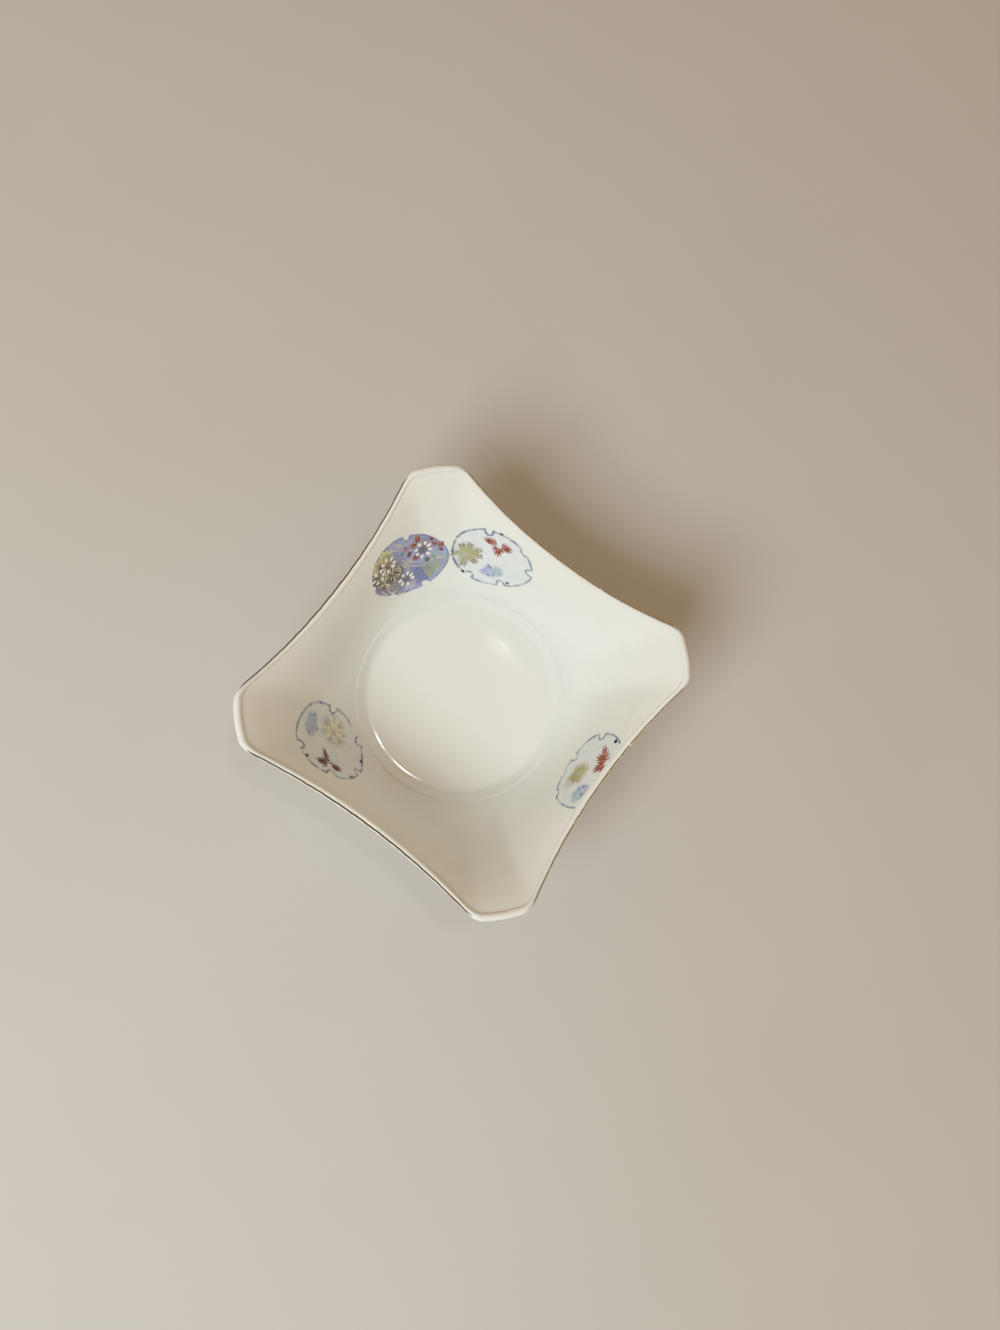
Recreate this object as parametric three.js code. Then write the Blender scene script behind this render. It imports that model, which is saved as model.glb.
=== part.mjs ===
// A small square porcelain bowl for the Japanese table, in millimetres, +Z up.
// Its round well grows into four walls whose rims are scooped inwards and whose corners are cut off and
// turned up. The bowl stands on a turned foot ring. A gold line runs along the lip of each side, and the
// inside carries three snow-ring roundels with pine and plum, and one cobalt roundel with cherry blossom.
// The origin is the centre of the foot ring's resting face. X and Y pass through the middles of the sides.
import * as THREE from "three";
import { mergeVertices } from "three/addons/utils/BufferGeometryUtils.js";

// Rim, seen from above
const TIP_SPAN = 125; // over the lip, from one cut corner to the opposite one
const CUT_WIDTH = 15.8; // length of the edge that cuts each corner off
const CUT_BOW = 0.9; // how far that edge bows outwards
const SIDE_SCOOP = 2.9; // how far a side bends inwards at its middle
const TURN_BLEND = 2.4; // how softly a side turns into a cut corner

// Heights
const SIDE_HEIGHT = 40; // top of the lip at the middle of a side
const CORNER_RISE = 7; // how much higher the cut corners stand
const RISE_POWER = 1.5; // the higher, the later along a side its rim turns up
const FOOT_HEIGHT = 7;
const FLOOR_THICKNESS = 4;

// Well
const WELL_RADIUS = 32;
const WELL_STEP = 1.8; // height of the soft ring round the well
const WELL_STEP_RUN = 3.4; // width of that ring's slope
const FLOOR_FLAT_RADIUS = 22;
const FLOOR_DISH = 0.5; // how far the floor rises from its flat middle to the ring

// Walls
const LIP_THICKNESS = 2.2;
const WALL_SWELL = 2.8; // how much thicker than the lip a wall is at its toe
const TOE_SHARE = 0.16; // share of a wall's outward run that its toe takes
const FLARE_SHARE = 0.14; // share that its flared lip takes
const TOE_POWER = 8;
const FLARE_POWER = 6;

// Foot ring
const SEAT_RADIUS = 29; // flat underside of the bowl that the foot ring is luted to
const FOOT_TOP_RADIUS = 28.4;
const FOOT_WAIST_RADIUS = 27.4;
const FOOT_WAIST_HEIGHT = 4.6;
const FOOT_REST_RADIUS = 26.6; // outer edge of the resting face
const FOOT_BEVEL = 0.7;
const FOOT_THICKNESS = 3.4;

// Gold line on the lip, as angles from the lip's crest towards the outside
const GOLD_FROM = THREE.MathUtils.degToRad(18);
const GOLD_TO = THREE.MathUtils.degToRad(78);
const GOLD_THICKNESS = 0.15;
const GOLD_END_GAP = THREE.MathUtils.degToRad(1.2); // between a gold line's end and the cut corner

// Enamel
const ENAMEL_CLEARANCE = 0.15; // between one fired layer and the next
const EDGE_MARGIN = 0.5; // bare glaze between a roundel and the lip or the well
const ROUNDEL_RADIUS = 12.3;
const ROUNDEL_THICKNESS = 0.3;
const MOTIF_THICKNESS = 0.25;
const GOLD_PINE_RADIUS = 4.3;
const RED_PINE_RADIUS = 4.4;
const PLUM_RADIUS = 3;
const BLOSSOM_RADIUS = 3.4;
const RED_LEAF_RADIUS = 2.8;
const GOLD_SPRAY_RADIUS = 2.2;
const GOLD_FAN_RADIUS = 3.4;
const NORTH_DIRECTION = THREE.MathUtils.degToRad(115.3); // from +X to the middle of each roundel
const SOUTH_DIRECTION = THREE.MathUtils.degToRad(238);
const EAST_DIRECTION = THREE.MathUtils.degToRad(3.8);
const NORTH_DROP = 13.5; // from the lip's base down to the middle of each roundel
const SOUTH_DROP = 17.7;
const EAST_DROP = 4.1; // this roundel is cut off by the lip
const BLOSSOM_DROP = 15.9;
const ROUNDEL_GAP = 0.25; // between the north roundel and the cobalt one beside it
const SNOW_NOTCHES = 6;
const SNOW_NOTCH_DEPTH = 0.085; // share of the roundel's radius
const SNOW_NOTCH_POWER = 6; // the higher, the narrower a notch

const CORNERS = 4;
const QUARTER = Math.PI / 2;
const FLOOR_Z = FOOT_HEIGHT + FLOOR_THICKNESS;
const SHOULDER_Z = FLOOR_Z + FLOOR_DISH + WELL_STEP;
const LIP_RADIUS = LIP_THICKNESS / 2;
const TIP_REACH = TIP_SPAN / 2;

// Outline of the rim

// The cut edge and the side are arcs of circles. Each circle is given by its radius and its centre's distance.
const cutHalf = CUT_WIDTH / 2;
const cutArc = (cutHalf ** 2 + CUT_BOW ** 2) / (2 * CUT_BOW);
const cutCentre = TIP_REACH - cutArc;
const chordDistance = (TIP_REACH - CUT_BOW + cutHalf) / Math.SQRT2;
const chordHalf = (TIP_REACH - CUT_BOW - cutHalf) / Math.SQRT2;
const sideArc = (chordHalf ** 2 + SIDE_SCOOP ** 2) / (2 * SIDE_SCOOP);
const sideCentre = chordDistance - SIDE_SCOOP + sideArc;
const SIDE_REACH = chordDistance - SIDE_SCOOP;
const CUT_ANGLE = Math.atan2(cutHalf, TIP_REACH - CUT_BOW); // from a corner's middle to the end of its cut
const MEAN_REACH = (TIP_REACH + SIDE_REACH) / 2;

// Angle from the nearest corner's middle, in the range of plus or minus half a quarter.
function fromCorner(angle) {
  const turned = (angle - QUARTER / 2) / QUARTER;
  return (turned - Math.round(turned)) * QUARTER;
}

function softMin(a, b, width) {
  const mix = THREE.MathUtils.clamp(0.5 + (0.5 * (b - a)) / width, 0, 1);
  return THREE.MathUtils.lerp(b, a, mix) - width * mix * (1 - mix);
}

// Distance from the axis to the outside of the lip.
function reach(angle) {
  const corner = fromCorner(angle);
  const side = QUARTER / 2 - Math.abs(corner);
  const inCut = Math.max(cutArc ** 2 - (cutCentre * Math.sin(corner)) ** 2, 0);
  const cut = cutCentre * Math.cos(corner) + Math.sqrt(inCut);
  const inSide = Math.max(sideArc ** 2 - (sideCentre * Math.sin(side)) ** 2, 0);
  const scooped = sideCentre * Math.cos(side) - Math.sqrt(inSide);
  return softMin(cut, scooped, TURN_BLEND);
}

// Height at which the lip's half round starts. It follows the rise of the rim to the corners.
function lipBase(angle) {
  const towardsTip = (reach(angle) - SIDE_REACH) / (TIP_REACH - SIDE_REACH);
  return SIDE_HEIGHT - LIP_RADIUS + CORNER_RISE * Math.max(towardsTip, 0) ** RISE_POWER;
}

// Inside and outside of the wall

// Share of the outward run that a wall has made at a share of its height.
function spread(share) {
  const h = THREE.MathUtils.clamp(share, 0, 1);
  const straight = 1 - TOE_SHARE - FLARE_SHARE;
  return TOE_SHARE * (1 - (1 - h) ** TOE_POWER) + straight * h + FLARE_SHARE * h ** FLARE_POWER;
}

function heightShare(angle, z) {
  return (z - SHOULDER_Z) / (lipBase(angle) - SHOULDER_Z);
}

function innerRadius(angle, z) {
  const run = reach(angle) - LIP_THICKNESS - WELL_RADIUS;
  return WELL_RADIUS + run * spread(heightShare(angle, z));
}

function floorHeight(radius) {
  const dish = THREE.MathUtils.clamp((radius - FLOOR_FLAT_RADIUS) / (WELL_RADIUS - FLOOR_FLAT_RADIUS), 0, 1);
  const step = THREE.MathUtils.smoothstep(radius, WELL_RADIUS - WELL_STEP_RUN, WELL_RADIUS);
  return FLOOR_Z + FLOOR_DISH * dish ** 2 + WELL_STEP * step;
}

function wallThickness(share) {
  return LIP_THICKNESS + WALL_SWELL * (1 - share) ** 2;
}

// Solids from a turned profile whose vertices are then placed

const MERGE_DISTANCE = 1e-4;

function closed(geometry) {
  geometry.deleteAttribute("normal");
  geometry.deleteAttribute("uv");
  const merged = mergeVertices(geometry, MERGE_DISTANCE);
  merged.computeVertexNormals();
  return merged;
}

// Turns the profile, which runs from the top or the inside to the underside, round in a number of columns.
// Each vertex moves to place(station, turn), where turn runs from 0 to 1.
function turned(profile, columns, place) {
  const stations = profile.toReversed();
  const geometry = new THREE.LatheGeometry(stations, columns);
  const position = geometry.getAttribute("position");
  for (let column = 0; column <= columns; column++) {
    stations.forEach((station, row) => {
      const point = place(station, (column % columns) / columns);
      position.setXYZ(column * stations.length + row, point.x, point.y, point.z);
    });
  }
  return closed(geometry);
}

function steps(count, make) {
  return Array.from({ length: count + 1 }, (_, i) => make(i / count));
}

const BOWL_COLUMNS = 80;
const FOOT_COLUMNS = 48;
const COLUMN_CROWDING = 0.4; // how much the columns crowd towards the corners

// Direction of a column. The columns stand closer together at the corners, where the outline turns sharply.
function columnAngle(turn) {
  const quarterTurn = turn * CORNERS;
  const quarter = Math.floor(quarterTurn);
  const t = 2 * (quarterTurn - quarter) - 1;
  const warped = t * (1 - COLUMN_CROWDING + COLUMN_CROWDING * t * t);
  return (quarter + 0.5 + 0.5 * warped) * QUARTER;
}

// Bowl

// The bowl before it is pressed square: a round section at the mean reach, from the middle of the floor
// over the lip to the middle of the underside.
function bowlSection() {
  const roundBase = SIDE_HEIGHT - LIP_RADIUS;
  const insideAt = (share) => WELL_RADIUS + (MEAN_REACH - LIP_THICKNESS - WELL_RADIUS) * spread(share);
  const heightAt = (share) => THREE.MathUtils.lerp(SHOULDER_Z, roundBase, share);
  const floor = steps(2, (t) => t * FLOOR_FLAT_RADIUS)
    .concat(steps(6, (t) => THREE.MathUtils.lerp(FLOOR_FLAT_RADIUS, WELL_RADIUS, Math.sqrt(t))).slice(1))
    .map((r) => new THREE.Vector2(r, floorHeight(r)));
  const inside = steps(11, (t) => t * t * (3 - 2 * t))
    .slice(1)
    .map((h) => new THREE.Vector2(insideAt(h), heightAt(h)));
  const lip = steps(4, (t) => Math.PI * t)
    .slice(1)
    .map((a) => [MEAN_REACH - LIP_RADIUS * (1 + Math.cos(a)), roundBase + LIP_RADIUS * Math.sin(a)])
    .map(([r, z]) => new THREE.Vector2(r, z));
  const outside = steps(8, (t) => 1 - t * t * (3 - 2 * t))
    .slice(1)
    .map((h) => new THREE.Vector2(insideAt(h) + wallThickness(h), heightAt(h)));
  const toe = outside.at(-1);
  const above = outside.at(-2);
  const lean = (above.x - toe.x) / (above.y - toe.y);
  const turn = new THREE.Vector2(toe.x - lean * (toe.y - FOOT_HEIGHT), FOOT_HEIGHT);
  const belly = new THREE.QuadraticBezierCurve(toe, turn, new THREE.Vector2(SEAT_RADIUS, FOOT_HEIGHT))
    .getPoints(4)
    .slice(1);
  return [...floor, ...inside, ...lip, ...outside, ...belly, new THREE.Vector2(0, FOOT_HEIGHT)];
}

// Presses a point of the round section square: the higher it is, the more it follows the rim's outline.
function pressed(station, turn) {
  const angle = columnAngle(turn);
  const roundBase = SIDE_HEIGHT - LIP_RADIUS;
  const share = (station.y - SHOULDER_Z) / (roundBase - SHOULDER_Z);
  const radius = station.x + (reach(angle) - MEAN_REACH) * spread(share);
  const stretch = THREE.MathUtils.clamp(share, 0, 1) * (lipBase(angle) - roundBase);
  return new THREE.Vector3(radius * Math.cos(angle), radius * Math.sin(angle), station.y + stretch);
}

function bowlGeometry() {
  return turned(bowlSection(), BOWL_COLUMNS, pressed);
}

// Foot ring

function footGeometry() {
  const innerTop = FOOT_TOP_RADIUS - FOOT_THICKNESS;
  const innerRest = FOOT_REST_RADIUS - FOOT_THICKNESS + 2 * FOOT_BEVEL;
  const flare = new THREE.QuadraticBezierCurve(
    new THREE.Vector2(FOOT_TOP_RADIUS, FOOT_HEIGHT),
    new THREE.Vector2(FOOT_WAIST_RADIUS, (FOOT_HEIGHT + FOOT_WAIST_HEIGHT) / 2),
    new THREE.Vector2(FOOT_WAIST_RADIUS, FOOT_WAIST_HEIGHT),
  );
  const profile = [
    new THREE.Vector2(innerTop, FOOT_HEIGHT),
    ...flare.getPoints(4),
    new THREE.Vector2(FOOT_REST_RADIUS + FOOT_BEVEL / 2, FOOT_BEVEL),
    new THREE.Vector2(FOOT_REST_RADIUS, 0),
    new THREE.Vector2(innerRest, 0),
    new THREE.Vector2(innerRest - FOOT_BEVEL, FOOT_BEVEL),
    new THREE.Vector2(innerTop, FOOT_HEIGHT),
  ];
  return turned(profile, FOOT_COLUMNS, (station, turn) => {
    const angle = turn * 2 * Math.PI;
    return new THREE.Vector3(station.x * Math.cos(angle), station.x * Math.sin(angle), station.y);
  });
}

// Gold line along the lip of one side

const GOLD_LINE_STEPS = 22;

function goldLineGeometry(sideAngle) {
  const box = new THREE.BoxGeometry(1, 1, 1, GOLD_LINE_STEPS, 2, 1);
  const position = box.getAttribute("position");
  const halfSpan = QUARTER / 2 - CUT_ANGLE - GOLD_END_GAP;
  for (let i = 0; i < position.count; i++) {
    const angle = sideAngle + 2 * position.getX(i) * halfSpan;
    const round = THREE.MathUtils.lerp(GOLD_TO, GOLD_FROM, position.getY(i) + 0.5);
    const lift = LIP_RADIUS + ENAMEL_CLEARANCE + (position.getZ(i) + 0.5) * GOLD_THICKNESS;
    const radius = reach(angle) - LIP_RADIUS + lift * Math.sin(round);
    const z = lipBase(angle) + lift * Math.cos(round);
    position.setXYZ(i, radius * Math.cos(angle), radius * Math.sin(angle), z);
  }
  return closed(box);
}

// Enamel laid on the inside of the wall

const WALL_SPAN = 1; // how far apart the points are that give the wall's slope at a spot
const DROP_RANGE = 8; // farthest that a plane which touches the wall stands off it under a roundel
const DROP_HALVINGS = 30;

function wallPoint(angle, z) {
  const radius = innerRadius(angle, z);
  return new THREE.Vector3(radius * Math.cos(angle), radius * Math.sin(angle), z);
}

// Right-handed axes on the inside of the wall, as someone looking at it from the bowl's middle has them:
// to the right, up the wall, and off it towards the eye.
function wallAxes(angle, z) {
  const aside = WALL_SPAN / innerRadius(angle, z) / 2;
  const right = wallPoint(angle - aside, z).sub(wallPoint(angle + aside, z)).normalize();
  const upwards = wallPoint(angle, z + WALL_SPAN / 2).sub(wallPoint(angle, z - WALL_SPAN / 2));
  const off = new THREE.Vector3().crossVectors(right, upwards).normalize();
  const up = new THREE.Vector3().crossVectors(off, right).normalize();
  return { right, up, off };
}

// Drops a point of the plane that touches the wall at the spot onto the wall, then lifts it off by lift.
function onWall(spot, x, y, lift) {
  const origin = wallPoint(spot.angle, spot.z);
  const { right, up, off } = wallAxes(spot.angle, spot.z);
  const start = origin.addScaledVector(right, x).addScaledVector(up, y);
  let low = -DROP_RANGE;
  let high = DROP_RANGE;
  for (let pass = 0; pass < DROP_HALVINGS; pass++) {
    const middle = (low + high) / 2;
    const p = start.clone().addScaledVector(off, middle);
    const inside = Math.hypot(p.x, p.y) < innerRadius(Math.atan2(p.y, p.x), p.z);
    if (inside) high = middle;
    else low = middle;
  }
  const landed = start.addScaledVector(off, high);
  const axes = wallAxes(Math.atan2(landed.y, landed.x), landed.z);
  return landed.addScaledVector(axes.off, lift);
}

// A thin relief on the wall. outline(angle) is its edge's distance from its middle, in millimetres. The
// edge is cut off level where it would reach the lip or the well.
function reliefGeometry(spot, { x = 0, y = 0, lift, thickness, columns, rings, outline }) {
  const slope = wallAxes(spot.angle, spot.z).up.z;
  const above = (lipBase(spot.angle) - EDGE_MARGIN - spot.z) / slope - y;
  const below = (spot.z - EDGE_MARGIN - SHOULDER_Z) / slope + y;
  const radii = steps(rings, (t) => t);
  const profile = [
    ...radii.map((r) => new THREE.Vector2(r, thickness)),
    ...radii.map((r) => new THREE.Vector2(r, 0)).reverse(),
  ];
  return turned(profile, columns, (station, turn) => {
    const angle = turn * 2 * Math.PI;
    const rise = Math.sin(angle);
    const room = (rise > 0 ? above : below) / Math.max(Math.abs(rise), Number.EPSILON);
    const radius = station.x * Math.min(outline(angle), room);
    return onWall(spot, x + radius * Math.cos(angle), y + radius * Math.sin(angle), lift + station.y);
  });
}

const snowRing = (angle) => {
  const notch = Math.max(Math.cos(SNOW_NOTCHES * angle), 0) ** SNOW_NOTCH_POWER;
  return ROUNDEL_RADIUS * (1 - SNOW_NOTCH_DEPTH * notch);
};

// An outline of equal lobes that draws in between them to a waist, given as a share of its radius.
const lobed = (lobes, waist) => (radius) => (angle) =>
  radius * (waist + (1 - waist) * Math.abs(Math.cos((lobes / 2) * angle)));
const pineCrest = lobed(8, 0.7);
const pineSpray = lobed(3, 0.42);
const plumFlower = lobed(5, 0.74);

const ROUNDEL_LIFT = ENAMEL_CLEARANCE;
const MOTIF_LIFT = ROUNDEL_LIFT + ROUNDEL_THICKNESS + ENAMEL_CLEARANCE;

function roundelGeometry(spot) {
  return reliefGeometry(spot, {
    lift: ROUNDEL_LIFT, thickness: ROUNDEL_THICKNESS, columns: 42, rings: 6, outline: snowRing,
  });
}

function motifGeometry(spot, [right, up], outline) {
  return reliefGeometry(spot, {
    x: right * ROUNDEL_RADIUS, y: up * ROUNDEL_RADIUS,
    lift: MOTIF_LIFT, thickness: MOTIF_THICKNESS, columns: 24, rings: 2, outline,
  });
}

// Colours and finishes

const porcelain = new THREE.MeshStandardMaterial({ color: 0xe6e8e3, roughness: 0.12 });
const biscuitFoot = new THREE.MeshStandardMaterial({ color: 0xe2dfd6, roughness: 0.3 });
const rimGold = new THREE.MeshStandardMaterial({ color: 0xa98a4e, roughness: 0.32, metalness: 0.9 });
const snowGlaze = new THREE.MeshStandardMaterial({ color: 0xd3dbe6, roughness: 0.12 });
const cobaltGlaze = new THREE.MeshStandardMaterial({ color: 0x6f80b4, roughness: 0.12 });
const cobaltWash = new THREE.MeshStandardMaterial({ color: 0x9fb1d6, roughness: 0.12 });
const goldEnamel = new THREE.MeshStandardMaterial({ color: 0xb8a763, roughness: 0.35, metalness: 0.7 });
const redEnamel = new THREE.MeshStandardMaterial({ color: 0x9c3a2c, roughness: 0.3 });
const whiteEnamel = new THREE.MeshStandardMaterial({ color: 0xf3efe6, roughness: 0.25 });

// Assembly

const dish = new THREE.Group();

function addPiece(name, geometry, material) {
  const mesh = new THREE.Mesh(geometry, material);
  mesh.name = name;
  dish.add(mesh);
}

addPiece("bowl_body", bowlGeometry(), porcelain);
addPiece("foot_ring", footGeometry(), biscuitFoot);
["east", "north", "west", "south"].forEach((side, i) => {
  addPiece(`rim_gold_line_${side}`, goldLineGeometry(i * QUARTER), rimGold);
});

// A roundel's middle lies on the wall in a given direction and so far below the lip. Its motifs lie at
// places to the right of that middle and up the wall from it, in roundel radii.
function belowLip(angle, drop) {
  return { angle, z: lipBase(angle) - drop };
}

const northSpot = belowLip(NORTH_DIRECTION, NORTH_DROP);
const southSpot = belowLip(SOUTH_DIRECTION, SOUTH_DROP);
const eastSpot = belowLip(EAST_DIRECTION, EAST_DROP);
const snowRoundels = [
  { place: "north", spot: northSpot, gold: [-0.57, -0.24], red: [0.06, 0.5], blue: [0.2, -0.4] },
  { place: "south", spot: southSpot, gold: [0.21, -0.5], red: [-0.29, 0.47], blue: [0.63, 0.15] },
  { place: "east", spot: eastSpot, gold: [0.22, -0.28], red: [-0.36, 0.08], blue: [0.52, 0.2] },
];
snowRoundels.forEach(({ place, spot, gold, red, blue }) => {
  addPiece(`snow_roundel_${place}`, roundelGeometry(spot), snowGlaze);
  addPiece(`gold_pine_${place}`, motifGeometry(spot, gold, pineCrest(GOLD_PINE_RADIUS)), goldEnamel);
  addPiece(`red_pine_${place}`, motifGeometry(spot, red, pineSpray(RED_PINE_RADIUS)), redEnamel);
  addPiece(`blue_plum_${place}`, motifGeometry(spot, blue, plumFlower(PLUM_RADIUS)), cobaltWash);
});

// The cobalt roundel lies beside the north one, round the corner of the wall.
const halfwayBeside = ROUNDEL_RADIUS + ROUNDEL_GAP / 2;
const besideNorth = 2 * Math.asin(halfwayBeside / innerRadius(northSpot.angle, northSpot.z));
const blossomSpot = belowLip(NORTH_DIRECTION + besideNorth, BLOSSOM_DROP);
addPiece("blossom_roundel", roundelGeometry(blossomSpot), cobaltGlaze);
const blossoms = [
  { at: [0.46, 0.02], share: 1 },
  { at: [-0.2, -0.46], share: 0.86 },
  { at: [-0.58, 0.33], share: 0.82 },
];
blossoms.forEach(({ at, share }, i) => {
  const petals = plumFlower(share * BLOSSOM_RADIUS);
  addPiece(`cherry_blossom_${i + 1}`, motifGeometry(blossomSpot, at, petals), whiteEnamel);
});
addPiece("red_leaves", motifGeometry(blossomSpot, [0.08, 0.46], pineSpray(RED_LEAF_RADIUS)), redEnamel);
addPiece("gold_spray", motifGeometry(blossomSpot, [-0.24, 0.73], pineCrest(GOLD_SPRAY_RADIUS)), goldEnamel);
addPiece("gold_fan", motifGeometry(blossomSpot, [0.42, -0.62], pineCrest(GOLD_FAN_RADIUS)), goldEnamel);

export default dish;
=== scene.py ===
# A small square porcelain bowl with cut, upturned corners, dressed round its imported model.
# Lengths are in metres, +Z up. X and Y pass through the middles of the sides. A place on a roundel is in
# millimetres, to the right of the roundel's middle and up the wall from it.
import functools
import math
import random

import bmesh
import bpy
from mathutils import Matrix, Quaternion, Vector, noise
from mathutils.kdtree import KDTree


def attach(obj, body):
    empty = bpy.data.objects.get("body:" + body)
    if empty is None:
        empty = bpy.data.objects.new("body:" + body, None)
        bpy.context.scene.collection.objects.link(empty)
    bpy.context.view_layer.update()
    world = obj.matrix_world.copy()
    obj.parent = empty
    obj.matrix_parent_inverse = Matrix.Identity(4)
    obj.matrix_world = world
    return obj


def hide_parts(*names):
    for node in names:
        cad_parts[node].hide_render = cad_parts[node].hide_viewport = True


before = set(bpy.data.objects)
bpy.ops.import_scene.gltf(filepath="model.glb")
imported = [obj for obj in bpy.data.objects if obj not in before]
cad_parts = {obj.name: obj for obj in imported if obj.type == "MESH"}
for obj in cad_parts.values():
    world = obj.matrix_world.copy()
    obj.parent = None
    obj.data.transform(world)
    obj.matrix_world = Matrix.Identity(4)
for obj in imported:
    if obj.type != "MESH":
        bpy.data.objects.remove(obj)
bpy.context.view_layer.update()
scene = bpy.context.scene
random.seed(12)
MM = 0.001

# Camera, at the photograph's place above the bowl
CAMERA_AT = (-0.00132, -0.02871, 0.28862)
CAMERA_TURN = (6.656, -6.256, 36.243)
CAMERA_LENS = 24.36

camera_data = bpy.data.cameras.new("camera")
camera_data.lens = CAMERA_LENS
camera_data.sensor_width = 36
camera_data.clip_start = 0.01
camera = bpy.data.objects.new("camera", camera_data)
camera.location = CAMERA_AT
camera.rotation_euler = [math.radians(a) for a in CAMERA_TURN]
scene.collection.objects.link(camera)
scene.camera = camera

# Rim, seen from above
TIP_REACH = 62.5 * MM
CUT_HALF = 7.9 * MM
CUT_BOW = 0.9 * MM
SIDE_SCOOP = 2.9 * MM
TURN_BLEND = 2.4 * MM

# Heights and thicknesses
SIDE_HEIGHT = 40 * MM
CORNER_RISE = 7 * MM
RISE_POWER = 1.5
FOOT_HEIGHT = 7 * MM
FLOOR_THICKNESS = 4 * MM
LIP_THICKNESS = 2.2 * MM
WALL_SWELL = 2.8 * MM

# Well
WELL_RADIUS = 32 * MM
WELL_STEP = 1.8 * MM
WELL_STEP_RUN = 3.4 * MM
FLOOR_FLAT_RADIUS = 22 * MM
FLOOR_DISH = 0.5 * MM

# How a wall's outward run is shared between its toe, its straight part and its flared lip
TOE_SHARE = 0.16
FLARE_SHARE = 0.14
TOE_POWER = 8
FLARE_POWER = 6

# Foot ring
SEAT_RADIUS = 29 * MM
FOOT_TOP_RADIUS = 28.4 * MM
FOOT_WAIST_RADIUS = 27.4 * MM
FOOT_WAIST_HEIGHT = 4.6 * MM
FOOT_REST_RADIUS = 26.6 * MM
FOOT_BEVEL = 0.7 * MM
FOOT_THICKNESS = 3.4 * MM

QUARTER = math.pi / 2
FLOOR_Z = FOOT_HEIGHT + FLOOR_THICKNESS
SHOULDER_Z = FLOOR_Z + FLOOR_DISH + WELL_STEP
LIP_RADIUS = LIP_THICKNESS / 2


# Shape of the bowl

def clamp(value):
    return min(max(value, 0.0), 1.0)


def lerp(a, b, t):
    return a + (b - a) * t


def smoothstep(value, low, high):
    t = clamp((value - low) / (high - low))
    return t * t * (3 - 2 * t)


CUT_ARC = (CUT_HALF ** 2 + CUT_BOW ** 2) / (2 * CUT_BOW)
CUT_CENTRE = TIP_REACH - CUT_ARC
CHORD_DISTANCE = (TIP_REACH - CUT_BOW + CUT_HALF) / math.sqrt(2)
CHORD_HALF = (TIP_REACH - CUT_BOW - CUT_HALF) / math.sqrt(2)
SIDE_ARC = (CHORD_HALF ** 2 + SIDE_SCOOP ** 2) / (2 * SIDE_SCOOP)
SIDE_REACH = CHORD_DISTANCE - SIDE_SCOOP
SIDE_CENTRE = SIDE_REACH + SIDE_ARC
CUT_ANGLE = math.atan2(CUT_HALF, TIP_REACH - CUT_BOW)
MEAN_REACH = (TIP_REACH + SIDE_REACH) / 2


@functools.lru_cache(maxsize=4096)
def reach(angle):
    """Distance from the axis to the outside of the lip: cut corners blended softly into scooped sides."""
    turned = (angle - QUARTER / 2) / QUARTER
    corner = (turned - round(turned)) * QUARTER
    side = QUARTER / 2 - abs(corner)
    in_cut = max(CUT_ARC ** 2 - (CUT_CENTRE * math.sin(corner)) ** 2, 0)
    in_scoop = max(SIDE_ARC ** 2 - (SIDE_CENTRE * math.sin(side)) ** 2, 0)
    cut = CUT_CENTRE * math.cos(corner) + math.sqrt(in_cut)
    scoop = SIDE_CENTRE * math.cos(side) - math.sqrt(in_scoop)
    mix = clamp(0.5 + 0.5 * (scoop - cut) / TURN_BLEND)
    return lerp(scoop, cut, mix) - TURN_BLEND * mix * (1 - mix)


def towards_tip(angle):
    """0 at the middle of a side, 1 at a corner's tip."""
    return max((reach(angle) - SIDE_REACH) / (TIP_REACH - SIDE_REACH), 0)


def lip_base(angle):
    """Height at which the lip's half round starts."""
    return SIDE_HEIGHT - LIP_RADIUS + CORNER_RISE * towards_tip(angle) ** RISE_POWER


def spread(share):
    """Share of the outward run that a wall has made at a share of its height."""
    h = clamp(share)
    straight = 1 - TOE_SHARE - FLARE_SHARE
    return TOE_SHARE * (1 - (1 - h) ** TOE_POWER) + straight * h + FLARE_SHARE * h ** FLARE_POWER


def inner_radius(angle, z):
    share = (z - SHOULDER_Z) / (lip_base(angle) - SHOULDER_Z)
    return WELL_RADIUS + (reach(angle) - LIP_THICKNESS - WELL_RADIUS) * spread(share)


def floor_height(radius):
    dish = clamp((radius - FLOOR_FLAT_RADIUS) / (WELL_RADIUS - FLOOR_FLAT_RADIUS))
    step = smoothstep(radius, WELL_RADIUS - WELL_STEP_RUN, WELL_RADIUS)
    return FLOOR_Z + FLOOR_DISH * dish ** 2 + WELL_STEP * step


def wall_point(angle, z):
    radius = inner_radius(angle, z)
    return Vector((radius * math.cos(angle), radius * math.sin(angle), z))


HALF_SPAN = 0.5 * MM  # how far to each side the points are that give the wall's slope


def wall_axes(angle, z):
    """To the right, up the wall and off it, as someone looking at it from the bowl's middle has them."""
    aside = HALF_SPAN / inner_radius(angle, z)
    right = (wall_point(angle - aside, z) - wall_point(angle + aside, z)).normalized()
    upwards = wall_point(angle, z + HALF_SPAN) - wall_point(angle, z - HALF_SPAN)
    off = right.cross(upwards).normalized()
    return right, off.cross(right).normalized(), off


# Places on a roundel

ROUNDEL_MARGIN = 0.15 * MM  # bare glaze between a roundel and the lip or the well
LANDING_STEPS = 7
LANDED = 1e-7


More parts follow.
